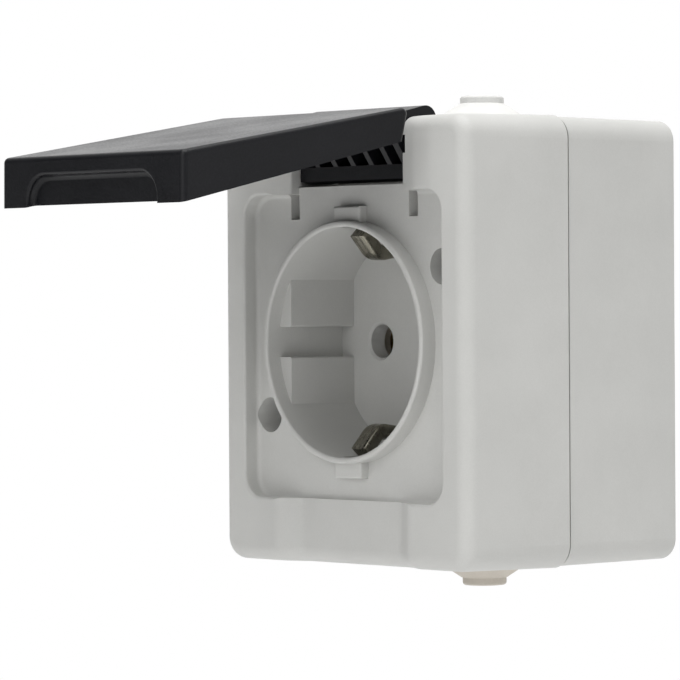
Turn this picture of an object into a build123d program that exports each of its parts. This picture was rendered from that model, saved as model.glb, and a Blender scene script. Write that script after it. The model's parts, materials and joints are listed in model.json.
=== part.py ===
from build123d import *
from math import acos, cos, radians, sin, sqrt, tan
import os

# Outdoor socket outlet, surface mounted, with a hinged lid that stands open.
# Millimetres. The origin is the centre of the wall face, +X is right seen from the front,
# +Y points into the wall and +Z is up. A depth is measured from the front border towards the wall.

# Plug cup
cup_bore = 39.9
cup_wall = 1.05
cup_depth = 17.5
cup_floor = 3.5
rim_setback = 0.2
rim_round = 0.4
key_flat_span = 33.4
key_start = 2.9
key_groove = 5.3
key_edge_round = 0.4
pin_spacing = 19.0
pin_hole = 6.0
pin_hole_chamfer = 0.4
plug_pin_length = 19.0
lug_width = 6.9
lug_projection = 2.5
lug_setback = 1.4
lug_round = 0.4

# Earth clips: depths behind the rim, and insets from the cup wall
clip_width = 3.8
clip_thickness = 1.0
clip_bar_height = 2.6
clip_bar_round = 0.8
clip_tip_depth = 4.4
clip_knee_depth = 7.9
clip_waist_depth = 12.6
clip_tip_inset = 1.5
clip_knee_inset = 5.4
clip_waist_inset = 4.7
clip_base_inset = 3.5
clip_slot_clearance = 0.4
clip_knee_bend = 2.4
clip_base_bend = 0.9
clip_edge_round = 0.2
clip_pocket_depth = 1.6
clip_pocket_setback = 2.0

# Front cover
cover_depth = 23.8
cover_draft = 0.7
side_wall = 2.4
front_wall = 2.4
case_corner = 4.2
inner_corner = 0.9
front_edge_round = 2.6
border_side = 6.4
recess_side_margin = 5.0
recess_top_margin = 4.9
recess_bottom_margin = 6.3
recess_depth = 3.3
recess_corner = 3.9
recess_edge_round = 0.5
recess_floor_round = 0.8
channel_depth = 2.4
channel_floor = 25.8
channel_slope = 4.5
channel_round = 4.0
core_slot_width = 2.3
core_slot_height = 4.4
core_slot_depth = 1.9

# Hinge
drum_radius = 6.2
drum_proud = 0.5
drum_top_proud = 0.15
drum_clearance = 0.5
drum_shell = 1.5
drum_end_plate = 1.5
drum_nose_round = 2.3
drum_face_depth = 3.4
drum_lip_drop = 3.3
axis_drop = 4.95
notch_width = 29.4
notch_sill = 1.2
notch_back_clearance = 0.6
ear_width = 6.1
ear_dip = 1.6
ear_slope = 4.5
ear_edge_round = 0.5
tongue_gap = 0.5
tongue_rise = 5.6
rib_count = 5
rib_thickness = 1.2
rib_clearance = 0.5
peg_diameter = 3.0
peg_length = 3.0
peg_clearance = 0.05
peg_end_clearance = 0.3
snap_groove_depth = 1.2
open_angle = 77.2

# Lid
lid_side_gap = 1.45
lid_rear_gap = 4.1
lid_end_gap = 0.6
lid_seat_gap = 0.3
lid_rear_height = 5.35
lid_end_height = 8.2
lid_rear_rake = 27.0
lid_end_rake = 13.3
lid_skin = 1.6
lid_wall = 1.8
lid_end_wall = 2.4
lid_corner_round = 1.1
lid_edge_round = 0.95
scoop_width = 35.0
scoop_height = 5.3
scoop_depth = 1.5
scoop_corner = 4.5
scoop_roof_round = 0.9
scoop_mouth_round = 0.5
lid_seal_width = 2.8
lid_seal_thickness = 0.7
lid_seal_gap = 0.2
lid_seat_margin = 0.4

# Rear housing
housing_depth = 26.2
housing_draft = 0.5
housing_inset = 0.25
back_wall = 2.5
back_edge_round = 0.8
parting_gap = 0.5
lip_height = 3.0
lip_thickness = 1.4
lip_clearance = 0.25
lip_root = 2.4
lip_root_bite = 0.4
seal_inset = 0.75
seal_width = 1.1
seal_groove = 1.0
wall_hole = 4.5
wall_hole_margin = 6.0
wall_pad_width = 2.4
wall_pad_height = 1.5

# Cable entries
entry_setback = 9.75
entry_hole = 10.4
entry_neck_clearance = 0.1
entry_seat_gap = 0.02
grommet_base = 17.6
grommet_base_edge = 0.5
grommet_cone_height = 3.6
grommet_collar = 7.8
grommet_collar_height = 1.35
grommet_step = 0.2
grommet_membrane = 0.6
grommet_wall = 1.4
grommet_lock_width = 1.0
grommet_lock_height = 1.2

# Cover screws and carrier screws
well_diameter = 6.2
well_depth = 10.7
well_gap = 2.1
well_angle = 29.5
well_wall = 1.3
screw_shank = 3.0
screw_head = 5.4
screw_head_height = 2.2
screw_play = 0.05
screw_passage_play = 0.25
screw_slot = 0.8
screw_slot_depth = 1.0
cover_screw_length = 18.0
washer_thickness = 0.8
post_diameter = 8.0
post_gap = 1.2
post_hole_run_out = 0.8
carrier_screw_length = 10.0

# Contact block
block_gap = 0.3
block_post_gap = 0.8
block_edge = 0.6
block_base = 3.0
block_ear_thickness = 2.6
block_ear_height = 8.0
block_ear_drop = 4.5
sleeve_bore = 4.9
sleeve_wall = 1.25
sleeve_setback = 0.7
sleeve_slit = 1.0
sleeve_slit_root = 4.0
sleeve_end_room = 0.8
spring_wall = 0.7
spring_width = 2.0
spring_setback = 1.8
spring_gap = 2.0
spring_play = 0.05
cavity_play = 0.3
tab_thickness = 1.0
tab_width = 5.0
tab_overhang = 1.6

# Terminals
terminal_width = 7.4
terminal_length = 6.4
terminal_depth = 12.0
terminal_base = 1.4
terminal_window = 6.0
terminal_window_play = 0.1
terminal_offset = 10.6
terminal_screw_reach = 6.6
terminal_head = 5.0
terminal_head_height = 1.8
terminal_head_gap = 1.2
wire_hole = 4.4
earth_arm_gap = 3.0
earth_arm_clearance = 1.0

# Worked out from the sizes above
cup_radius = cup_bore / 2
cup_out_radius = cup_radius + cup_wall
floor_front = rim_setback + cup_depth
floor_back = floor_front + cup_floor
total_depth = cover_depth + housing_depth
recess_half = cup_out_radius + recess_side_margin
recess_top = cup_out_radius + recess_top_margin
recess_bottom = -cup_out_radius - recess_bottom_margin
plate_back = recess_depth + front_wall
notch_floor = recess_top + notch_sill
notch_half = notch_width / 2
axis_depth = drum_radius - drum_proud
axis_height = notch_floor + drum_clearance + drum_radius
notch_back = axis_depth + drum_radius + notch_back_clearance
face_forward = axis_depth - drum_face_depth
drum_half = notch_half - tongue_gap
rib_pitch = 2 * drum_half / (rib_count + 1)
drum_top = axis_height + axis_drop + drum_top_proud
case_width = 2 * (recess_half + border_side)
case_height = 2 * (axis_height + axis_drop)
cover_back = cover_depth - parting_gap / 2
housing_front = cover_depth + parting_gap / 2
inside_back = total_depth - back_wall
screw_radius = cup_out_radius + well_gap + well_diameter / 2
screw_x = screw_radius * cos(radians(well_angle))
screw_z = screw_radius * sin(radians(well_angle))
well_seat = recess_depth + well_depth
boss_end = cover_back
clip_base_radius = cup_radius - clip_base_inset
strap_front = floor_back + block_gap
block_front = strap_front + clip_thickness
block_half_width = screw_x - post_diameter / 2 - block_post_gap
block_half_height = clip_base_radius + clip_thickness / 2 + block_edge
contact_end = floor_front + plug_pin_length + sleeve_end_room + tab_thickness
block_back = contact_end + block_base
ear_back = block_back - block_ear_drop
sleeve_radius = sleeve_bore / 2 + sleeve_wall
spring_radius = sleeve_radius + spring_play + spring_wall
terminal_back = contact_end + terminal_base
terminal_front = terminal_back - terminal_depth
window_front = contact_end - terminal_window
entry_depth = cover_depth + entry_setback
lid_half = recess_half - lid_side_gap
lid_rear = recess_top - lid_rear_gap
lid_end = recess_bottom + lid_end_gap
lid_seat = recess_depth - lid_seat_gap
seal_back = rim_setback - lid_seal_gap - lid_seal_thickness
seal_middle = cup_radius + cup_wall / 2
cover_screw_places = [(screw_x, screw_z), (-screw_x, -screw_z)]
carrier_screw_places = [(-screw_x, screw_z), (screw_x, -screw_z)]
margin = 1.0  # how far a cutting shape overshoots
touch = 1e-4  # how near an edge lies to the place it is picked by


def front_plane(depth):
    # Local x is +X, local y is +Z and the normal looks out of the front.
    return Plane(origin=(0, depth - total_depth, 0), x_dir=(1, 0, 0), z_dir=(0, -1, 0))


def slab(sketch, near, far, draft_angle=0.0):
    # A sketch drawn in X and Z, from a near depth back to a far one; draft narrows it to the front.
    return extrude(front_plane(far) * sketch, amount=far - near, taper=draft_angle)


def side_slab(sketch, left, right):
    # A sketch drawn in depth and Z, from one X to another.
    plane = Plane(origin=(left, -total_depth, 0), x_dir=(0, 1, 0), z_dir=(1, 0, 0))
    return extrude(plane * sketch, amount=right - left)


def box(left, right, near, far, low, high):
    size = (right - left, far - near, high - low)
    middle = ((left + right) / 2, (near + far) / 2 - total_depth, (low + high) / 2)
    return Pos(*middle) * Box(*size)


def case_outline(inset):
    corner = max(case_corner - inset, inner_corner)
    return RectangleRounded(case_width - 2 * inset, case_height - 2 * inset, corner)


def ring(outer, inner):
    return Circle(outer) - Circle(inner)


def disc_at(place, radius):
    return Pos(*place) * Circle(radius)


def merged(shapes):
    first, *others = shapes
    return first.fuse(*others).clean()


# Front cover


def corners_at(shape, half, level):
    # The corners of a sketch that lie that far to either side of both of its axes.
    return [v for v in shape.vertices() if abs(abs(v.X) - half) < touch and abs(abs(v.Y) - level) < touch]


def valley(foot_half, depth, slope, low, high):
    # A shallow cut across the front: soft slopes fall from the border to a level floor.
    crest_half = foot_half + slope
    reach = crest_half + channel_round
    foot_level = total_depth - depth
    right = [
        (reach, -total_depth - margin),
        (reach, -total_depth),
        (crest_half, -total_depth),
        (foot_half, -foot_level),
    ]
    left = [(-x, y) for x, y in reversed(right)]
    shape = Polygon(*right, *left, align=None)
    shape = fillet(corners_at(shape, foot_half, foot_level), channel_round)
    shape = fillet(corners_at(shape, crest_half, total_depth), channel_round)
    return extrude(Pos(0, 0, low) * shape, amount=high - low)


def on_front_rim(edge):
    # True for the edges where the front of the cover meets its sides.
    bounds = edge.bounding_box()
    inside_x = case_width / 2 - case_corner - margin
    inside_z = case_height / 2 - case_corner - margin
    outside = max(bounds.min.X, -bounds.max.X) > inside_x or max(bounds.min.Z, -bounds.max.Z) > inside_z
    return outside and bounds.max.Y < recess_depth - total_depth


def cover_shell():
    outer = slab(case_outline(0), 0, cover_back, cover_draft)
    inner = slab(case_outline(side_wall), plate_back, cover_back + margin, cover_draft)
    block_low = notch_floor - front_wall
    block_half = notch_half + ear_width
    hinge_block = box(-block_half, block_half, 0, notch_back + front_wall, block_low, case_height)
    recess_middle = (recess_top + recess_bottom) / 2
    recess_shape = RectangleRounded(2 * recess_half, recess_top - recess_bottom, recess_corner)
    shell = (outer - inner) + (hinge_block & outer)
    shell -= slab(Pos(0, recess_middle) * recess_shape, -margin, recess_depth)
    border = shell.faces().filter_by(Plane.XZ).sort_by(Axis.Y)[0]
    shell = fillet(border.inner_wires()[0].edges(), recess_edge_round)
    floor_depth = recess_depth - total_depth
    floor = shell.faces().filter_by_position(Axis.Y, floor_depth - touch, floor_depth + touch)[0]
    shell = fillet(floor.outer_wire().edges(), recess_floor_round)
    narrowing = cover_depth * tan(radians(cover_draft))
    pocket_x = case_width / 2 - side_wall - narrowing
    pocket_z = case_height / 2 - side_wall - narrowing
    for side in (-1, 1):
        left, right = sorted((side * block_half, side * pocket_x))
        top_low = recess_top + front_wall
        bottom_high = recess_bottom - front_wall
        shell -= box(left, right, front_wall, plate_back + margin, top_low, pocket_z)
        shell -= box(left, right, front_wall, plate_back + margin, -pocket_z, bottom_high)
    lower_end = recess_bottom + recess_corner
    upper_end = recess_top - recess_corner
    shell -= valley(channel_floor / 2, channel_depth, channel_slope, -case_height, lower_end)
    foot_half = notch_half - ear_slope
    shell -= valley(foot_half, 2 * ear_dip, 2 * ear_slope, upper_end, case_height)
    return fillet(shell.edges().filter_by(on_front_rim), front_edge_round)


def on_ear_edge(edge):
    # True for the edges where the front of an ear meets the side of the notch.
    bounds = edge.bounding_box()
    flat = bounds.max.X - bounds.min.X < touch and abs(abs(bounds.max.X) - notch_half) < touch
    return flat and bounds.max.Y < recess_depth + ear_dip - total_depth and bounds.max.Z > notch_floor


def hinge_cuts():
    # The notch, and its sill level with the recess floor.
    sill = box(-notch_half, notch_half, -margin, recess_depth, recess_top - recess_corner, notch_floor)
    return sill + box(-notch_half, notch_half, -margin, notch_back, notch_floor, case_height)


def peg_cuts():
    # The peg holes, and the grooves the pegs snap in by.
    peg_reach = drum_half + peg_length + peg_end_clearance
    peg_radius = peg_diameter / 2 + peg_clearance
    peg_hole = side_slab(Pos(axis_depth, axis_height) * Circle(peg_radius), -peg_reach, peg_reach)
    groove_half = notch_half + snap_groove_depth
    groove_low, groove_high = axis_height - peg_radius, axis_height + peg_radius
    return peg_hole + box(-groove_half, groove_half, -margin, axis_depth, groove_low, groove_high)


def cup_wall_solid():
    wall = slab(Circle(cup_out_radius), rim_setback, floor_back)
    lug_front = rim_setback + lug_setback
    lug_out = cup_out_radius + lug_projection
    lug_shape = Rectangle(lug_width, 2 * lug_out)
    lug = slab(lug_shape, lug_front, floor_back)
    lug = fillet(lug.faces().sort_by(Axis.Y)[0].edges(), lug_round)
    return wall + lug


def cup_hollow():
    bore = slab(Circle(cup_radius), rim_setback - margin, floor_front)
    keys = Circle(cup_radius + margin) - Rectangle(key_flat_span, case_height)
    keys -= Rectangle(case_width, key_groove)
    keys = fillet(corners_at(keys, key_flat_span / 2, key_groove / 2), key_edge_round)
    hollow = bore - slab(keys, rim_setback + key_start, floor_front + margin)
    pocket_half = clip_width / 2 + clip_slot_clearance
    pocket_out = cup_radius + clip_pocket_depth
    pocket_near = rim_setback + clip_pocket_setback
    hollow += box(-pocket_half, pocket_half, pocket_near, floor_front, -pocket_out, pocket_out)
    slot_half = clip_thickness / 2 + clip_slot_clearance
    for side in (-1, 1):
        low = side * clip_base_radius - slot_half
        high = side * clip_base_radius + slot_half
        hollow += box(-pocket_half, pocket_half, floor_front - margin, floor_back + margin, low, high)
        place = (side * pin_spacing / 2, 0)
        hollow += slab(disc_at(place, pin_hole / 2), floor_front - margin, floor_back + margin)
        mouth = Plane(front_plane(floor_front).location * Location((side * pin_spacing / 2, 0, 0)))
        cone = Cone(pin_hole / 2, pin_hole / 2 + pin_hole_chamfer, pin_hole_chamfer,
                    align=(Align.CENTER, Align.CENTER, Align.MAX))
        hollow += mouth * cone
    return hollow


def front_cover():
    body = cover_shell() - hinge_cuts()
    body = fillet(body.edges().filter_by(on_ear_edge), ear_edge_round) - peg_cuts()
    body += cup_wall_solid()
    for place in cover_screw_places:
        body += slab(disc_at(place, well_diameter / 2 + well_wall), recess_depth, boss_end)
    body -= cup_hollow()
    for place in cover_screw_places:
        body -= slab(disc_at(place, well_diameter / 2), -margin, well_seat)
        passage = screw_shank / 2 + screw_passage_play
        body -= slab(disc_at(place, passage), well_seat - margin, boss_end + margin)
    slot_x = notch_half + core_slot_width / 2 - tongue_gap / 2
    for side in (-1, 1):
        left = side * slot_x - core_slot_width / 2
        low = recess_top - core_slot_height
        body -= box(left, left + core_slot_width, 0, recess_depth + core_slot_depth, low, recess_top)
    rim_depth = rim_setback - total_depth
    rim_edges = body.edges().filter_by_position(Axis.Y, rim_depth - touch, rim_depth + touch)
    body = fillet(rim_edges, rim_round)
    # The cup floor is a solid of its own that lies flat on the end of the cup wall.
    floor_space = slab(Circle(cup_out_radius), floor_front, floor_back + margin)
    return [body - floor_space, body & floor_space]


# Lid, drawn shut and then turned open about the hinge axis


def rear_line(depth):
    return lid_rear + (lid_seat - depth) * tan(radians(lid_rear_rake))


def end_line(depth):
    return lid_end + (lid_seat - depth) * tan(radians(lid_end_rake))


def lid_outline(rear_inset, end_inset, skin, mouth):
    rear_depth = lid_seat - lid_rear_height + skin
    end_depth = lid_seat - lid_end_height + skin
    points = [
        (mouth, rear_line(mouth) - rear_inset),
        (rear_depth, rear_line(rear_depth) - rear_inset),
        (end_depth, end_line(end_depth) + end_inset),
        (mouth, end_line(mouth) + end_inset),
    ]
    return Polygon(*points, align=None)


def lid_block():
    block = side_slab(lid_outline(0, 0, 0, lid_seat), -lid_half, lid_half)
    sides = block.faces().sort_by(Axis.X)
    left, right = sides[0].edges().sort_by(Axis.Z), sides[-1].edges().sort_by(Axis.Z)
    block = fillet([left[0], left[-1], right[0], right[-1]], lid_corner_round)
    return fillet(block.faces().sort_by(Axis.Y)[0].edges(), lid_edge_round)


def end_plane():
    # On the outside of the lid's free end, at its seat.
    rake = radians(lid_end_rake)
    origin = (0, lid_seat - total_depth, lid_end)
    return Plane(origin=origin, x_dir=(1, 0, 0), z_dir=(0, -sin(rake), -cos(rake)))


def finger_scoop():
    plane = end_plane()
    height = scoop_height + 2 * scoop_corner
    shape = Pos(0, scoop_height - height / 2) * RectangleRounded(scoop_width, height, scoop_corner)
    tool = extrude(plane * shape, amount=-scoop_depth)
    inward = Axis(plane.origin, plane.z_dir)
    tool = fillet(tool.faces().sort_by(inward)[0].edges(), scoop_roof_round)
    return tool + extrude(plane * shape, amount=margin)


def in_scoop_mouth(edge):
    # True for the edges that the finger scoop leaves in the lid's end face.
    reach = scoop_width / 2 + touch
    return edge.bounding_box().min.X > -reach and edge.bounding_box().max.X < reach


def lid_tray():
    block = lid_block()
    inner_half = lid_half - lid_wall
    mouth = lid_seat + margin
    hollow = side_slab(lid_outline(lid_wall, lid_end_wall, lid_skin, mouth), -inner_half, inner_half)
    rear_skin = lid_seat - lid_rear_height + lid_skin
    gate_half = drum_half - drum_end_plate
    hollow += box(-gate_half, gate_half, rear_skin, mouth, lid_rear - 2 * lid_wall, notch_floor)
    seat_out = seal_middle + lid_seal_width / 2 + lid_seat_margin
    seat_in = seal_middle - lid_seal_width / 2 - lid_seat_margin
    seat = slab(ring(seat_out, seat_in), lid_seat - lid_end_height, seal_back) & block
    scooped = block - finger_scoop()
    outward = Axis(end_plane().origin, end_plane().z_dir)
    mouth_edges = scooped.faces().sort_by(outward)[-1].edges().filter_by(in_scoop_mouth)
    return fillet(mouth_edges, scoop_mouth_round) - hollow + (seat - finger_scoop())


def drum_outline(inset):
    middle = Pos(axis_depth, axis_height)
    top = drum_top - inset
    nose = drum_radius - inset
    disc = middle * Circle(nose)
    nose_low = (axis_depth - nose, axis_height)
    nose_high = (axis_depth, top)
    corner = Pos((nose_low[0] + nose_high[0]) / 2, (nose_low[1] + nose_high[1]) / 2) * Rectangle(
        nose_high[0] - nose_low[0], nose_high[1] - nose_low[1]
    )
    tip = corner.vertices().sort_by(Axis.X)[:2].sort_by(Axis.Y)[-1]
    corner = fillet(tip, drum_nose_round - inset / 2)
    reach = 3 * drum_radius
    below_top = Pos(axis_depth, top - reach / 2) * Rectangle(reach, reach)
    return (disc & below_top) + corner


def when_shut(forward, rise):
    # A point of the open lid, by how far it lies in front of and above the axis, in the shut lid's drawing.
    turn = radians(open_angle)
    depth = axis_depth - forward * cos(turn) - rise * sin(turn)
    return depth, axis_height - forward * sin(turn) + rise * cos(turn)


def drum_face():
    # The wall that closes the front of the drum when the lid is open, level with the recess floor.
    foot = -sqrt(drum_radius**2 - face_forward**2)
    back = face_forward - drum_shell
    points = [
        when_shut(face_forward, foot),
        when_shut(back, foot),
        when_shut(back, -drum_lip_drop),
        when_shut(face_forward, -drum_lip_drop),
    ]
    return Polygon(*points, align=None)


def drum_mouth():
    # The open sector of the drum, from the front tangent round to the foot of its face.
    reach = 3 * drum_radius
    lip = radians(180 + open_angle) + acos(face_forward / drum_radius)
    points = [
        (axis_depth, axis_height),
        (axis_depth - reach, axis_height),
        (axis_depth - reach, axis_height - reach),
        (axis_depth, axis_height - reach),
        (axis_depth + reach * cos(lip), axis_height + reach * sin(lip)),
    ]
    return Polygon(*points, align=None)


def tongue_outline():
    front = -drum_proud
    rear_depth = lid_seat - lid_rear_height
    bend = notch_floor + drum_clearance
    root = bend - tongue_rise
    points = [
        (front, axis_height),
        (front, bend),
        (rear_depth, root),
        (rear_depth + lid_skin, root),
        (front + drum_shell, bend),
        (front + drum_shell, axis_height),
    ]
    return Polygon(*points, align=None)


def rib_outline():
    front = drum_shell / 2 - drum_proud
    inside = face_forward - drum_shell / 2
    web = Polygon(
        (front, axis_height),
        (front, notch_floor + rib_clearance),
        when_shut(face_forward, -drum_lip_drop),
        when_shut(inside, drum_shell - drum_radius),
        (axis_depth, axis_height),
        align=None,
    )
    return (drum_outline(drum_shell / 2) - drum_mouth()) + web


def lid_shut():
    shell = drum_outline(0) - drum_outline(drum_shell) - drum_mouth() + drum_face()
    rib = rib_outline()
    pieces = [lid_tray(), side_slab(tongue_outline() + shell, -drum_half, drum_half)]
    for number in range(rib_count):
        left = (number + 1) * rib_pitch - drum_half - rib_thickness / 2
        pieces.append(side_slab(rib, left, left + rib_thickness))
    peg = Pos(axis_depth, axis_height) * Circle(peg_diameter / 2)
    for side in (-1, 1):
        plate = sorted((side * drum_half, side * (drum_half - drum_end_plate)))
        pieces.append(side_slab(rib, *plate))
        reach = sorted((side * (drum_half - drum_end_plate), side * (drum_half + peg_length)))
        pieces.append(side_slab(peg, *reach))
    return merged(pieces)


def lid_seal_shut():
    half = lid_seal_width / 2
    return slab(ring(seal_middle + half, seal_middle - half), seal_back, rim_setback - lid_seal_gap)


def opened(shape):
    hinge = Axis((0, axis_depth - total_depth, axis_height), (1, 0, 0))
    return shape.rotate(hinge, -open_angle)


# Rear housing


def housing_half_height(depth):
    return case_height / 2 - housing_inset - (depth - housing_front) * tan(radians(housing_draft))


def back_slab(sketch, near, far):
    # A sketch that narrows towards the wall.
    plane = Plane(origin=(0, near - total_depth, 0), x_dir=(1, 0, 0), z_dir=(0, 1, 0))
    return extrude(plane * sketch, amount=far - near, taper=housing_draft)


def entry_plane(side):
    # On the outside of the top or bottom wall, square to its draft.
    lean = radians(housing_draft)
    origin = (0, entry_depth - total_depth, side * housing_half_height(entry_depth))
    return Plane(origin=origin, x_dir=(1, 0, 0), z_dir=(0, sin(lean), side * cos(lean)))


def rear_housing():
    outer = back_slab(case_outline(housing_inset), housing_front, total_depth)
    outer = fillet(outer.faces().sort_by(Axis.Y)[-1].edges(), back_edge_round)
    inside_inset = housing_inset + side_wall
    body = outer - back_slab(case_outline(inside_inset), housing_front, inside_back)
    lip_out = side_wall + lip_clearance
    lip_in = lip_out + lip_thickness
    lip_foot = housing_front + lip_root
    body += slab(case_outline(lip_out) - case_outline(lip_in), cover_depth - lip_height, lip_foot)
    body += slab(case_outline(lip_out - lip_root_bite) - case_outline(lip_in), housing_front, lip_foot)
    groove_shape = case_outline(seal_inset) - case_outline(seal_inset + seal_width)
    body -= slab(groove_shape, housing_front - margin, housing_front + seal_groove)
    for place in cover_screw_places:
        post_front = boss_end + post_gap
        body += slab(disc_at(place, post_diameter / 2), post_front, total_depth - back_edge_round)
        hole_end = well_seat - washer_thickness + cover_screw_length + post_hole_run_out
        body -= slab(disc_at(place, screw_shank / 2 + screw_play), post_front - margin, hole_end)
    for place in carrier_screw_places:
        body += slab(disc_at(place, post_diameter / 2), ear_back, total_depth - back_edge_round)
        hole_end = ear_back - block_ear_thickness + carrier_screw_length + post_hole_run_out
        body -= slab(disc_at(place, screw_shank / 2 + screw_play), ear_back - margin, hole_end)
    wall_z = cup_out_radius + wall_hole_margin
    for side in (-1, 1):
        place = (0, side * wall_z)
        pad = wall_hole / 2 + wall_pad_width
        body += slab(disc_at(place, pad), inside_back - wall_pad_height, total_depth - back_edge_round)
        body -= slab(disc_at(place, wall_hole / 2), inside_back - 2 * wall_pad_height, total_depth + margin)
        reach = 2 * side_wall
        body -= extrude(entry_plane(side) * Circle(entry_hole / 2), amount=reach, both=True)
    return body


def cover_seal():
    shape = case_outline(seal_inset) - case_outline(seal_inset + seal_width)
    return slab(shape, cover_back, housing_front + seal_groove)


def entry_grommet(side):
    neck = entry_hole / 2 - entry_neck_clearance
    lock = neck + grommet_lock_width
    lock_top = -side_wall - entry_seat_gap
    lock_low = lock_top - grommet_lock_height
    collar = grommet_collar / 2
    top = grommet_cone_height + grommet_collar_height
    cone_run = grommet_base / 2 - collar - grommet_step
    inner_foot = neck - grommet_wall
    inner_head = collar - grommet_wall
    points = [
        (grommet_base / 2, entry_seat_gap),
        (grommet_base / 2, grommet_base_edge),
        (grommet_base / 2 - cone_run, grommet_cone_height),
        (collar, grommet_cone_height),
        (collar, top),
        (0, top),
        (0, top - grommet_membrane),
        (inner_head, top - grommet_membrane),
        (inner_head, grommet_cone_height - grommet_wall),
        (inner_foot, entry_seat_gap),
        (inner_foot, lock_low),
        (lock, lock_low),
        (lock, lock_top),
        (neck, lock_top),
        (neck, entry_seat_gap),
    ]
    profile = Plane.XZ * Polygon(*points, align=None)
    return entry_plane(side) * revolve(profile, Axis.Z)


# Screws


def screw(place, head_back, length, head, head_height):
    body = slab(disc_at(place, head / 2), head_back - head_height, head_back)
    body += slab(disc_at(place, screw_shank / 2), head_back - head_height / 2, head_back + length)
    x, z = place
    slot_near = head_back - head_height - margin
    slot_far = head_back - head_height + screw_slot_depth
    return body - box(x - head, x + head, slot_near, slot_far, z - screw_slot / 2, z + screw_slot / 2)


def cover_screws():
    seat = well_seat - washer_thickness
    length = cover_screw_length
    return [screw(p, seat, length, screw_head, screw_head_height) for p in cover_screw_places]


def screw_seals():
    shape = ring(screw_head / 2, screw_shank / 2 + screw_play)
    return [slab(Pos(*p) * shape, well_seat - washer_thickness, well_seat) for p in cover_screw_places]


def carrier_screws():
    seat = ear_back - block_ear_thickness
    length = carrier_screw_length
    return [screw(p, seat, length, screw_head, screw_head_height) for p in carrier_screw_places]


# Contact block


def pole_place(side):
    return (side * pin_spacing / 2, 0)


def pole_terminal_place(side):
    return (side * pin_spacing / 2, -terminal_offset)


def earth_terminal_place():
    return (earth_arm_outside() + earth_arm_clearance + terminal_length / 2, terminal_offset)


def earth_arm_outside():
    return clip_width / 2 + earth_arm_gap + tab_thickness


def contact_carrier():
    half_span, half_rise = block_half_width, block_half_height
    body = box(-half_span, half_span, block_front, block_back, -half_rise, half_rise)
    ear_front = ear_back - block_ear_thickness
    passage = screw_shank / 2 + screw_passage_play
    for x, z in carrier_screw_places:
        side = 1 if x > 0 else -1
        left, right = sorted((x + side * post_diameter / 2, side * (half_span - margin)))
        low, high = z - block_ear_height / 2, z + block_ear_height / 2
        body += box(left, right, ear_front, ear_back, low, high)
        body -= slab(disc_at((x, z), passage), ear_front - margin, ear_back + margin)
    half_width = terminal_width / 2 + cavity_play
    half_length = terminal_length / 2 + cavity_play
    wire_depth = (window_front + contact_end) / 2 - total_depth
    mouth = block_front - margin
    for side in (-1, 1):
        x, z = pole_terminal_place(side)
        body -= slab(disc_at(pole_place(side), spring_radius + cavity_play), mouth, contact_end)
        slot_half = tab_width / 2 + cavity_play
        body -= box(x - slot_half, x + slot_half, mouth, contact_end, z, 0)
        low, high = z - half_length - tab_overhang, z + half_length
        body -= box(x - half_width, x + half_width, mouth, contact_end, low, high)
        body -= box(x - half_width, x + half_width, mouth, terminal_back, z - half_length, high)
        wire = Plane(origin=(x, wire_depth, low + margin), z_dir=(0, 0, -1))
        body -= extrude(wire * Circle(wire_hole / 2), amount=half_rise)
    x, z = earth_terminal_place()
    arm_left = earth_arm_outside() - tab_thickness - cavity_play
    right = x + half_length + tab_overhang
    low, high = z - half_width, z + half_width
    body -= box(arm_left, right, mouth, contact_end, low, high)
    body -= box(x - half_length, x + half_length, mouth, terminal_back, low, high)
    wire = Plane(origin=(right - margin, wire_depth, z), z_dir=(1, 0, 0))
    return body - extrude(wire * Circle(wire_hole / 2), amount=half_span)


def pole_contact(side):
    x, z = pole_terminal_place(side)
    front = block_front + sleeve_setback
    body = slab(disc_at(pole_place(side), sleeve_radius), front, contact_end)
    low = z - terminal_length / 2 - tab_overhang
    tab_front = contact_end - tab_thickness
    body += box(x - tab_width / 2, x + tab_width / 2, tab_front, contact_end, low, 0)
    body -= slab(disc_at(pole_place(side), sleeve_bore / 2), front - margin, tab_front)
    slit_end = tab_front - sleeve_slit_root
    half_slit = sleeve_slit / 2
    reach = sleeve_radius + margin
    return body - box(x - half_slit, x + half_slit, front - margin, slit_end, -reach, reach)


def contact_springs():
    shape = ring(spring_radius, sleeve_radius + spring_play)
    shape -= Pos(spring_radius, 0) * Rectangle(2 * spring_radius, spring_gap)
    near = block_front + sleeve_setback + spring_setback
    places = [pole_place(-1), pole_place(1)]
    return [slab(Pos(*p) * shape, near, near + spring_width) for p in places]


def clip_bar(side):
    # The stout bent end of a clip, round along its flanks, that a plug slides on.
    rise = (clip_bar_height - clip_thickness) / 2
    points = [
        (rim_setback + clip_tip_depth, cup_radius - clip_tip_inset + rise),
        (rim_setback + clip_knee_depth, cup_radius - clip_knee_inset + rise),
        (rim_setback + clip_waist_depth, cup_radius - clip_waist_inset + rise),
    ]
    path = FilletPolyline(*[(depth, side * height) for depth, height in points], radius=clip_knee_bend)
    bar = side_slab(trace(path, line_width=clip_bar_height), -clip_width / 2, clip_width / 2)
    flanks = bar.faces().sort_by(Axis.X)
    return fillet(flanks[0].edges() + flanks[-1].edges(), clip_bar_round)


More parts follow.
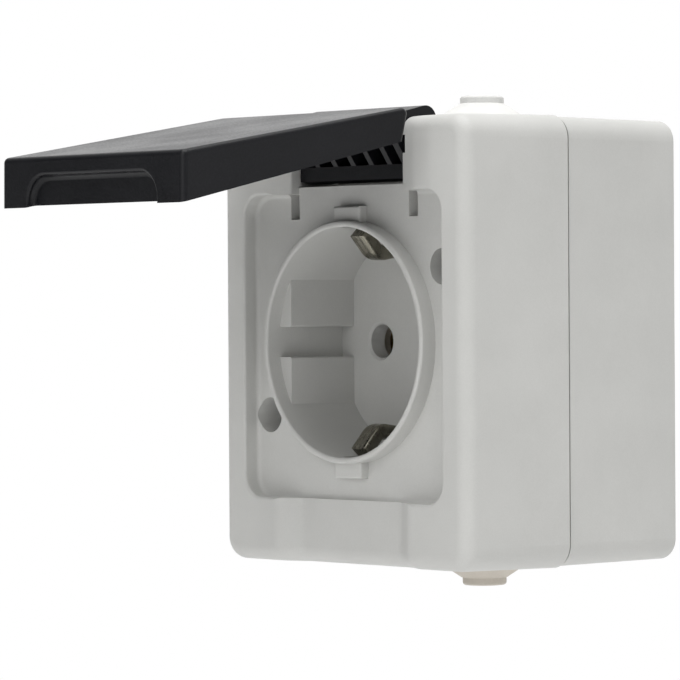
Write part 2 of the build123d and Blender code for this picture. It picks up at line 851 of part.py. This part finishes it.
def earth_bracket():
    waist = (rim_setback + clip_waist_depth, cup_radius - clip_waist_inset)
    half_path = [
        (waist[0] - clip_bar_height, waist[1]),
        waist,
        (floor_front, clip_base_radius),
        (strap_front + clip_thickness / 2, clip_base_radius),
    ]
    other_half = [(depth, -height) for depth, height in reversed(half_path)]
    path = FilletPolyline(*half_path, *other_half, radius=clip_base_bend)
    strip = side_slab(trace(path, line_width=clip_thickness), -clip_width / 2, clip_width / 2)
    sides = strip.faces().sort_by(Axis.X)
    strip = fillet(sides[0].edges() + sides[-1].edges(), clip_edge_round)
    for side in (-1, 1):
        strip += clip_bar(side)
    x, z = earth_terminal_place()
    arm_right = earth_arm_outside()
    arm_left = arm_right - tab_thickness
    low, high = z - tab_width / 2, z + tab_width / 2
    foot_right = x + terminal_length / 2 + tab_overhang
    strip += box(0, arm_right, strap_front, block_front, low, high)
    strip += box(arm_left, arm_right, strap_front, contact_end, low, high)
    return strip + box(arm_left, foot_right, contact_end - tab_thickness, contact_end, low, high)


def terminal(place, turned):
    x, z = place
    half_x, half_z = terminal_width / 2, terminal_length / 2
    window_x, window_z = tab_width / 2 + terminal_window_play, half_z + margin
    if turned:
        half_x, half_z = half_z, half_x
        window_x, window_z = window_z, window_x
    body = box(x - half_x, x + half_x, terminal_front, terminal_back, z - half_z, z + half_z)
    body -= box(x - window_x, x + window_x, window_front, contact_end, z - window_z, z + window_z)
    hole = screw_shank / 2 + screw_play
    return body - slab(disc_at(place, hole), terminal_front - margin, window_front + margin)


def terminal_screws():
    places = [pole_terminal_place(-1), pole_terminal_place(1), earth_terminal_place()]
    seat = terminal_front - terminal_head_gap
    length = terminal_head_gap + terminal_screw_reach
    return [screw(p, seat, length, terminal_head, terminal_head_height) for p in places]


nodes = {
    "rear_housing": rear_housing(),
    "front_cover": Compound(children=front_cover()),
    "cover_seal": cover_seal(),
    "cover_screws": Compound(children=cover_screws()),
    "screw_seals": Compound(children=screw_seals()),
    "entry_grommet_top": entry_grommet(1),
    "entry_grommet_bottom": entry_grommet(-1),
    "contact_carrier": contact_carrier(),
    "carrier_screws": Compound(children=carrier_screws()),
    "line_contact": pole_contact(-1),
    "neutral_contact": pole_contact(1),
    "contact_springs": Compound(children=contact_springs()),
    "earth_bracket": earth_bracket(),
    "line_terminal": terminal(pole_terminal_place(-1), False),
    "neutral_terminal": terminal(pole_terminal_place(1), False),
    "earth_terminal": terminal(earth_terminal_place(), True),
    "terminal_screws": Compound(children=terminal_screws()),
    "lid": opened(lid_shut()),
    "lid_seal": opened(lid_seal_shut()),
}

os.makedirs("parts", exist_ok=True)
for name, shape in nodes.items():
    export_step(shape, f"parts/{name}.step")
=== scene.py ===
import bpy
import json
import math
import numpy as np
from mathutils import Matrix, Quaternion, Vector


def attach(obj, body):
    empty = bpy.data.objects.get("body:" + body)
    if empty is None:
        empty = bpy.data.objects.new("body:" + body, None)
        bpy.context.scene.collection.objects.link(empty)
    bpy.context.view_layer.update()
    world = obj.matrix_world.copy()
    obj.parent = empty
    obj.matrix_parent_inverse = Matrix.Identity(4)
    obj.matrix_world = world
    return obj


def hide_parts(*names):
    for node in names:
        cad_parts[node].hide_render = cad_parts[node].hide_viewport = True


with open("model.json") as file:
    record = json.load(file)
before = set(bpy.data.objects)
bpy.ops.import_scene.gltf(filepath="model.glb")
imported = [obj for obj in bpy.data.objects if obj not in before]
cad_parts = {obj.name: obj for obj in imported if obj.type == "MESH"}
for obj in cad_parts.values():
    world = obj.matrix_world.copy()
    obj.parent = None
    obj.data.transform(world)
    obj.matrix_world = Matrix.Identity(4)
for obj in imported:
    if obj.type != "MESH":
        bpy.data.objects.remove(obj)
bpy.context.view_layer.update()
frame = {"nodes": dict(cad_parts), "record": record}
nodes = frame["nodes"]
scene = bpy.context.scene
scene.view_settings.view_transform = "Standard"
print("frame loaded,", len(nodes), "nodes")


# finishes: every one reads Object coordinates, in metres: a scale of 1000 repeats about once a millimetre
def startFinish(name):
    finish = bpy.data.materials.new(name)
    finish.use_nodes = True
    tree = finish.node_tree
    shader = tree.nodes["Principled BSDF"]
    place = tree.nodes.new("ShaderNodeTexCoord").outputs["Object"]
    return finish, tree, shader, place


def grain(tree, place, scale, detail=3.0, roughness=0.55):
    noise = tree.nodes.new("ShaderNodeTexNoise")
    noise.inputs["Scale"].default_value = scale
    noise.inputs["Detail"].default_value = detail
    noise.inputs["Roughness"].default_value = roughness
    tree.links.new(place, noise.inputs["Vector"])
    return noise.outputs["Fac"]


def stretched(tree, place, scale):
    mapping = tree.nodes.new("ShaderNodeMapping")
    mapping.inputs["Scale"].default_value = scale
    tree.links.new(place, mapping.inputs["Vector"])
    return mapping.outputs["Vector"]


def spread(tree, value, low, high, fromLow=0.35, fromHigh=0.65):
    ranged = tree.nodes.new("ShaderNodeMapRange")
    ranged.inputs["From Min"].default_value = fromLow
    ranged.inputs["From Max"].default_value = fromHigh
    ranged.inputs["To Min"].default_value = low
    ranged.inputs["To Max"].default_value = high
    tree.links.new(value, ranged.inputs["Value"])
    return ranged.outputs["Result"]


def tint(tree, factor, first, second):
    mix = tree.nodes.new("ShaderNodeMix")
    mix.data_type = "RGBA"
    mix.inputs["A"].default_value = (*first, 1.0)
    mix.inputs["B"].default_value = (*second, 1.0)
    tree.links.new(factor, mix.inputs["Factor"])
    return mix.outputs["Result"]


def blended(tree, first, second, share):
    mix = tree.nodes.new("ShaderNodeMix")
    mix.inputs["Factor"].default_value = share
    tree.links.new(first, mix.inputs["A"])
    tree.links.new(second, mix.inputs["B"])
    return mix.outputs["Result"]


def raised(tree, shader, height, strength, distance):
    bump = tree.nodes.new("ShaderNodeBump")
    bump.inputs["Strength"].default_value = strength
    bump.inputs["Distance"].default_value = distance
    tree.links.new(height, bump.inputs["Height"])
    tree.links.new(bump.outputs["Normal"], shader.inputs["Normal"])


def glossOf(tree, tone, look):
    return spread(tree, tone, *look["rough"], fromLow=0.2, fromHigh=0.8)


def mouldedFinish(name, look):
    # moulded plastic or rubber: slow flow marks shift tone and gloss, fine grain roughens the surface
    finish, tree, shader, place = startFinish(name)
    flow = grain(tree, place, look["flowScale"], detail=4.0)
    fine = grain(tree, place, look["grainScale"], detail=2.0)
    tone = blended(tree, spread(tree, flow, 0.0, 1.0), spread(tree, fine, 0.0, 1.0), look["grainShare"])
    tree.links.new(tint(tree, tone, look["dark"], look["light"]), shader.inputs["Base Color"])
    tree.links.new(glossOf(tree, tone, look), shader.inputs["Roughness"])
    shader.inputs["Specular IOR Level"].default_value = look["specular"]
    raised(tree, shader, fine, look["bump"], look["bumpDepth"])
    return finish


lineShare = 0.4  # of the drawing lines in a metal's tone


def metalFinish(name, look):
    # plated or bare metal: long drawing lines under a cloudy surface
    finish, tree, shader, place = startFinish(name)
    lines = grain(tree, stretched(tree, place, look["lines"]), 1.0)
    cloud = grain(tree, place, look["cloudScale"], detail=4.0)
    tone = blended(tree, spread(tree, cloud, 0.0, 1.0), spread(tree, lines, 0.0, 1.0), lineShare)
    tree.links.new(tint(tree, tone, look["dark"], look["light"]), shader.inputs["Base Color"])
    tree.links.new(glossOf(tree, tone, look), shader.inputs["Roughness"])
    shader.inputs["Metallic"].default_value = 1.0
    raised(tree, shader, lines, look["bump"], look["bumpDepth"])
    return finish


caseLook = dict(
    dark=(0.494, 0.494, 0.477), light=(0.539, 0.539, 0.521), flowScale=70, grainScale=3200, grainShare=0.35,
    rough=(0.42, 0.56), specular=0.32, bump=0.18, bumpDepth=0.00006,
)
lidLook = dict(
    dark=(0.0038, 0.0040, 0.0052), light=(0.0068, 0.0071, 0.0090), flowScale=55, grainScale=2400,
    grainShare=0.5, rough=(0.30, 0.40), specular=0.23, bump=0.22, bumpDepth=0.00008,
)
sealGreyLook = dict(
    dark=(0.24, 0.24, 0.235), light=(0.31, 0.31, 0.30), flowScale=160, grainScale=2600, grainShare=0.4,
    rough=(0.62, 0.78), specular=0.25, bump=0.2, bumpDepth=0.00006,
)
sealDarkLook = dict(
    dark=(0.016, 0.016, 0.017), light=(0.028, 0.028, 0.029), flowScale=160, grainScale=2600, grainShare=0.4,
    rough=(0.58, 0.74), specular=0.25, bump=0.2, bumpDepth=0.00006,
)
grommetWhiteLook = dict(
    dark=(0.63, 0.63, 0.615), light=(0.71, 0.71, 0.69), flowScale=210, grainScale=2800, grainShare=0.35,
    rough=(0.50, 0.66), specular=0.3, bump=0.15, bumpDepth=0.00006,
)
# bottom grommet: a darker, warmer copy of the top grommet's white rubber, painted shade under the housing
# with warm painted light bounced up from below
grommetShadedLook = dict(
    dark=(0.47, 0.43, 0.375), light=(0.54, 0.50, 0.44), flowScale=210, grainScale=2800, grainShare=0.35,
    rough=(0.50, 0.66), specular=0.3, bump=0.15, bumpDepth=0.00006,
)
carrierLook = dict(
    dark=(0.64, 0.60, 0.50), light=(0.72, 0.68, 0.58), flowScale=110, grainScale=2200, grainShare=0.4,
    rough=(0.50, 0.65), specular=0.3, bump=0.2, bumpDepth=0.00008,
)
zincLook = dict(
    dark=(0.50, 0.50, 0.50), light=(0.62, 0.62, 0.61), cloudScale=380, lines=(2600, 700, 700),
    rough=(0.28, 0.42), bump=0.15, bumpDepth=0.00004,
)
# earth clips: the nickel's own tone, darkened and tinted olive as painted shade and a painted brownish
# reflection of the cup around them
nickelPaintedReflectionLook = dict(
    dark=(0.19, 0.18, 0.145), light=(0.29, 0.275, 0.225), cloudScale=300, lines=(3000, 260, 260),
    rough=(0.20, 0.34), bump=0.12, bumpDepth=0.00004,
)
# contact brass: the brass's own yellow, darkened far below bright brass as painted shade for the depth of the
# pin holes
brassPaintedShadeLook = dict(
    dark=(0.30, 0.19, 0.07), light=(0.42, 0.28, 0.11), cloudScale=300, lines=(2600, 300, 2600),
    rough=(0.22, 0.38), bump=0.12, bumpDepth=0.00004,
)
springLook = dict(
    dark=(0.40, 0.40, 0.41), light=(0.52, 0.52, 0.53), cloudScale=400, lines=(500, 3000, 500),
    rough=(0.20, 0.32), bump=0.12, bumpDepth=0.00004,
)
finishes = {
    "case_grey": mouldedFinish("casePlastic", caseLook),
    "lid_dark": mouldedFinish("lidPlastic", lidLook),
    "seal_grey": mouldedFinish("sealGreyRubber", sealGreyLook),
    "seal_dark": mouldedFinish("sealDarkRubber", sealDarkLook),
    "grommet_white": mouldedFinish("grommetWhiteRubber", grommetWhiteLook),
    # the grommet_cream slot holds the white rubber with painted shade and painted warm bounce light
    "grommet_cream": mouldedFinish("grommetWhiteRubberPaintedShade", grommetShadedLook),
    "carrier_cream": mouldedFinish("carrierPlastic", carrierLook),
    "zinc_steel": metalFinish("zincSteel", zincLook),
    # earth nickel carries painted shade and painted reflection in its dark olive colour
    "earth_nickel": metalFinish("earthNickelPaintedReflection", nickelPaintedReflectionLook),
    # contact brass carries painted shade in its darkened colour
    "contact_brass": metalFinish("contactBrassPaintedShade", brassPaintedShadeLook),
    "spring_steel": metalFinish("springSteel", springLook),
}
for part in frame["record"]["subparts"]:
    for holder in nodes[part["node"]].material_slots:
        holder.material = finishes[part["material_slot"]]
print("finishes set on", len(nodes), "nodes")


# a grid of points as a smooth mesh that closes on itself along its rows and its columns
def ringPiece(name, points, body, slot, replaced):
    rows, columns = points.shape[:2]
    index = np.arange(rows * columns).reshape(rows, columns)
    wide = np.pad(index, ((0, 1), (0, 1)), mode="wrap")
    quads = np.stack([wide[:-1, :-1], wide[1:, :-1], wide[1:, 1:], wide[:-1, 1:]], axis=-1).reshape(-1, 4)
    mesh = bpy.data.meshes.new(name)
    mesh.from_pydata(points.reshape(-1, 3).tolist(), [], quads.tolist())
    mesh.polygons.foreach_set("use_smooth", np.ones(len(quads), dtype=bool))
    mesh.update()
    piece = bpy.data.objects.new(name, mesh)
    scene.collection.objects.link(piece)
    piece.data.materials.append(finishes[slot])
    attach(piece, body)
    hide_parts(replaced)


arcSteps = 7  # points on each rounded corner


# closed outline of corners, each two coordinates and a round: a corner gives way to an arc that touches
# both its runs, or to the corner itself, repeated, where the round is 0
def roundedProfile(outline):
    outline = np.asarray(outline, float)
    corners, radius = outline[:, :2], outline[:, 2]
    before = np.roll(corners, 1, axis=0) - corners
    after = np.roll(corners, -1, axis=0) - corners
    before /= np.linalg.norm(before, axis=1, keepdims=True)
    after /= np.linalg.norm(after, axis=1, keepdims=True)
    half = np.arccos(np.clip((before * after).sum(1), -1, 1)) / 2
    middle = before + after
    middle /= np.maximum(np.linalg.norm(middle, axis=1, keepdims=True), 1e-9)
    centre = corners + middle * (radius / np.sin(half))[:, None]
    turn = (math.pi - 2 * half)[:, None] * np.linspace(-0.5, 0.5, arcSteps)
    side = np.stack([-middle[:, 1], middle[:, 0]], axis=1)
    side *= np.sign((side * after).sum(1))[:, None]
    arc = -middle[:, None] * np.cos(turn)[..., None] + side[:, None] * np.sin(turn)[..., None]
    return (centre[:, None] + arc * radius[:, None, None]).reshape(-1, 2)


# entry grommets: a closed profile of radius and height turned once about the entry's axis
grommet = dict(
    y=-0.01645, z=0.038417, lean=math.radians(0.5), around=128,
    seat=0.00002, base=0.0088, baseEdge=0.0005, coneTop=0.0041, coneHeight=0.0036, collar=0.0039,
    height=0.00495, dish=0.00018, dishOut=0.0030, dishIn=0.0009, dishSlope=0.0003, axisGap=0.00001,
    membrane=0.0006, wall=0.0014, neck=0.0051, lock=0.0061, lockTop=-0.00242, lockLow=-0.00362,
    neckRound=0.0001, creaseRound=0.00008, edgeRound=0.0003, slopeRound=0.0004, headRound=0.0005,
    dishRound=0.00015, innerRound=0.0002,
)


def grommetProfile(g):
    # radius, height and round of each corner, from the neck out over the cone and back through the inside
    head, cone = g["height"], g["coneHeight"]
    inHead = g["collar"] - g["wall"]
    inFoot = g["neck"] - g["wall"]
    under = head - g["membrane"]
    sunk = head - g["dish"]
    return roundedProfile([
        (g["neck"], g["seat"], g["neckRound"]),
        (g["base"], g["seat"], g["creaseRound"]),
        (g["base"], g["baseEdge"], g["edgeRound"]),
        (g["coneTop"], cone, g["slopeRound"]),
        (g["collar"], cone, g["creaseRound"]),
        (g["collar"], head, g["headRound"]),
        (g["dishOut"], head, g["dishRound"]),
        (g["dishOut"] - g["dishSlope"], sunk, g["dishRound"]),
        (g["dishIn"] + g["dishSlope"], sunk, g["dishRound"]),
        (g["dishIn"], head, g["dishRound"]),
        (g["axisGap"], head, 0.0),
        (g["axisGap"], under, 0.0),
        (inHead, under, g["innerRound"]),
        (inHead, cone - g["wall"], g["slopeRound"]),
        (inFoot, g["seat"], g["slopeRound"]),
        (inFoot, g["lockLow"], g["innerRound"]),
        (g["lock"], g["lockLow"], g["edgeRound"]),
        (g["lock"], g["lockTop"], g["edgeRound"]),
        (g["neck"], g["lockTop"], g["neckRound"]),
    ])


def grommetSurface(g, end):
    # point = entry + radius (cos t along X + sin t across) + height along the leaning normal
    profile = grommetProfile(g)
    normal = np.array([0.0, math.sin(g["lean"]), end * math.cos(g["lean"])])
    across = np.cross(normal, (1.0, 0.0, 0.0))
    t = np.linspace(0, 2 * math.pi, g["around"], endpoint=False)[:, None, None]
    ring = np.cos(t) * np.array([1.0, 0.0, 0.0]) + np.sin(t) * across
    entry = np.array([0.0, g["y"], end * g["z"]])
    return entry + profile[None, :, :1] * ring + profile[None, :, 1:] * normal


# the bottom grommet takes the darker, warmer copy of the white rubber: painted shade and painted warm bounce
# light
for label, end, slot in (("Top", 1, "grommet_white"), ("Bottom", -1, "grommet_cream")):
    node = f"entry_grommet_{label.lower()}"
    ringPiece(f"entryGrommet{label}", grommetSurface(grommet, end), "housing", slot, node)
print("grommets turned")


# lid seal: a flat-backed section with two soft lips, carried round the rim line and turned up with the lid
seal = dict(
    middle=0.020475, half=0.0014, lip=0.0007, groove=0.0003, grooveMouth=0.0007, grooveFloor=0.00035,
    lipRound=0.00028, grooveRound=0.00018, footRound=0.00005, front=-0.0500, around=160,
)
hinge = frame["record"]["behaviour"]["joints"][0]


def sealSurface(s):
    # section: place between the inner and the outer edge, and how far the rubber stands off its seat
    # point with the lid shut = (rim line's radius + first) round the cup's axis, at seat depth + second;
    # then turned about the hinge by the angle between shut and open
    half, lip = s["half"], s["lip"]
    floor = lip - s["groove"]
    section = roundedProfile([
        (-half, 0.0, s["footRound"]),
        (half, 0.0, s["footRound"]),
        (half, lip, s["lipRound"]),
        (s["grooveMouth"], lip, s["lipRound"]),
        (s["grooveFloor"], floor, s["grooveRound"]),
        (-s["grooveFloor"], floor, s["grooveRound"]),
        (-s["grooveMouth"], lip, s["lipRound"]),
        (-half, lip, s["lipRound"]),
    ])
    t = np.linspace(0, 2 * math.pi, s["around"], endpoint=False)[:, None]
    radius = s["middle"] + section[None, :, 0]
    x = radius * np.cos(t)
    z = radius * np.sin(t)
    y = np.broadcast_to(s["front"] - lip + section[None, :, 1], x.shape)
    axisY, axisZ = hinge["pos_m"][1:]
    dy, dz = y - axisY, z - axisZ
    turn = -math.radians(hinge["range_deg"][1])
    c, n = math.cos(turn), math.sin(turn)
    return np.stack([x, axisY + dy * c - dz * n, axisZ + dy * n + dz * c], axis=-1)


ringPiece("lidSealRing", sealSurface(seal), "lid", "seal_dark", "lid_seal")
print("lid seal carried round")


# studio: a pale floor far below, a white surround of broad soft lobes of light, and three soft lights
studio = dict(
    floorZ=-0.16, floorHalf=4.0, nearFloor=0.25, farFloor=0.6, base=0.265, sharp=3.0,
    lobes=[
        ((-0.76, 0.65, 0.10), 0.98), ((0.60, 0.80, 0.0), 0.45), ((0.70, 0.0, 0.70), 0.21),
        ((-0.76, -0.65, 0.0), -0.22), ((0.76, -0.65, 0.0), -0.09), ((0.0, -0.70, 0.70), -0.03),
    ],
    paper=(0.82, 0.82, 0.82, 1.0), paperRough=0.9, paperSpecular=0.1,
)
softboxes = [
    dict(name="topSoftbox", place=(0.10, -0.10, 0.95), size=(1.0, 1.0), power=12.0),
    dict(name="frontSoftbox", place=(0.35, -1.0, 0.45), size=(0.8, 0.8), power=4.3),
    dict(name="lowSoftbox", place=(0.15, -0.12, -0.15), size=(0.30, 0.30), power=0.11),
]
lightAim = Vector((0.0, -0.03, 0.0))
plainWhite = (1.0, 1.0, 1.0, 1.0)


def joined(tree, first, second, how):
    # either side may be a socket or a plain number
    node = tree.nodes.new("ShaderNodeMath")
    node.operation = how
    for socket, value in zip(node.inputs, (first, second)):
        if isinstance(value, float):
            socket.default_value = value
        else:
            tree.links.new(value, socket)
    return node.outputs[0]


def choose(tree, share, first, second, output):
    mix = tree.nodes.new("ShaderNodeMixShader")
    for socket, source in zip(mix.inputs, (share, first.outputs[0], second.outputs[0])):
        tree.links.new(source, socket)
    tree.links.new(mix.outputs[0], tree.nodes[output].inputs["Surface"])


def surround(s):
    # plain white to the camera; as light, strength = base + sum over the lobes of
    # weight times (cosine to the lobe's direction) to the power sharp; a weight below zero darkens that side
    world = bpy.data.worlds.new("studioSurround")
    scene.world = world
    world.use_nodes = True
    tree = world.node_tree
    fill = tree.nodes["Background"]
    direction = tree.nodes.new("ShaderNodeTexCoord").outputs["Generated"]
    level = s["base"]
    for towards, weight in s["lobes"]:
        facing = tree.nodes.new("ShaderNodeVectorMath")
        facing.operation = "DOT_PRODUCT"
        facing.inputs[1].default_value = Vector(towards).normalized()
        tree.links.new(direction, facing.inputs[0])
        ahead = joined(tree, facing.outputs["Value"], 0.0, "MAXIMUM")
        lobe = joined(tree, joined(tree, ahead, s["sharp"], "POWER"), weight, "MULTIPLY")
        level = joined(tree, lobe, level, "ADD")
    tree.links.new(level, fill.inputs["Strength"])
    fill.inputs["Color"].default_value = plainWhite
    white = tree.nodes.new("ShaderNodeBackground")
    white.inputs["Color"].default_value = plainWhite
    white.inputs["Strength"].default_value = 1.0
    sight = tree.nodes.new("ShaderNodeLightPath").outputs["Is Camera Ray"]
    choose(tree, sight, fill, white, "World Output")


def paleFloor(s):
    # paper near the object, where its shadow falls, fading to plain white further out in sight and in mirrors
    half, level = s["floorHalf"], s["floorZ"]
    mesh = bpy.data.meshes.new("studioFloor")
    corners = [(-half, -half, level), (half, -half, level), (half, half, level), (-half, half, level)]
    mesh.from_pydata(corners, [], [(0, 1, 2, 3)])
    floor = bpy.data.objects.new("studioFloor", mesh)
    scene.collection.objects.link(floor)
    finish, tree, shader, place = startFinish("floorPaper")
    shader.inputs["Base Color"].default_value = s["paper"]
    shader.inputs["Roughness"].default_value = s["paperRough"]
    shader.inputs["Specular IOR Level"].default_value = s["paperSpecular"]
    white = tree.nodes.new("ShaderNodeEmission")
    length = tree.nodes.new("ShaderNodeVectorMath")
    length.operation = "LENGTH"
    flat = stretched(tree, place, (1.0, 1.0, 0.0))
    tree.links.new(flat, length.inputs[0])
    away = spread(tree, length.outputs["Value"], 0.0, 1.0, s["nearFloor"], s["farFloor"])
    path = tree.nodes.new("ShaderNodeLightPath")
    sight = joined(tree, path.outputs["Is Camera Ray"], path.outputs["Is Glossy Ray"], "MAXIMUM")
    choose(tree, joined(tree, away, sight, "MULTIPLY"), shader, white, "Material Output")
    floor.data.materials.append(finish)


def softbox(s):
    lamp = bpy.data.lights.new(s["name"], "AREA")
    lamp.shape = "RECTANGLE"
    lamp.size, lamp.size_y = s["size"]
    lamp.energy = s["power"]
    holder = bpy.data.objects.new(s["name"], lamp)
    holder.location = s["place"]
    holder.rotation_euler = (lightAim - Vector(s["place"])).to_track_quat("-Z", "Y").to_euler()
    holder.visible_camera = False
    scene.collection.objects.link(holder)


surround(studio)
paleFloor(studio)
for box in softboxes:
    softbox(box)
print("studio lit")


# camera: nearly level, long lens, from the right of the front
shot = dict(
    place=(0.549572, -0.522022, 0.006262), forward=(-0.75856, 0.65156, -0.00806), roll=math.radians(-0.351),
    focal=222.35, sensor=36.0, near=0.01,
)
lens = bpy.data.cameras.new("shotCamera")
lens.sensor_width = shot["sensor"]
lens.lens = shot["focal"]
lens.clip_start = shot["near"]
camera = bpy.data.objects.new("shotCamera", lens)
camera.location = shot["place"]
aim = Vector(shot["forward"]).to_track_quat("-Z", "Y") @ Quaternion((0.0, 0.0, 1.0), shot["roll"])
camera.rotation_euler = aim.to_euler()
scene.collection.objects.link(camera)
scene.camera = camera
print("camera set")
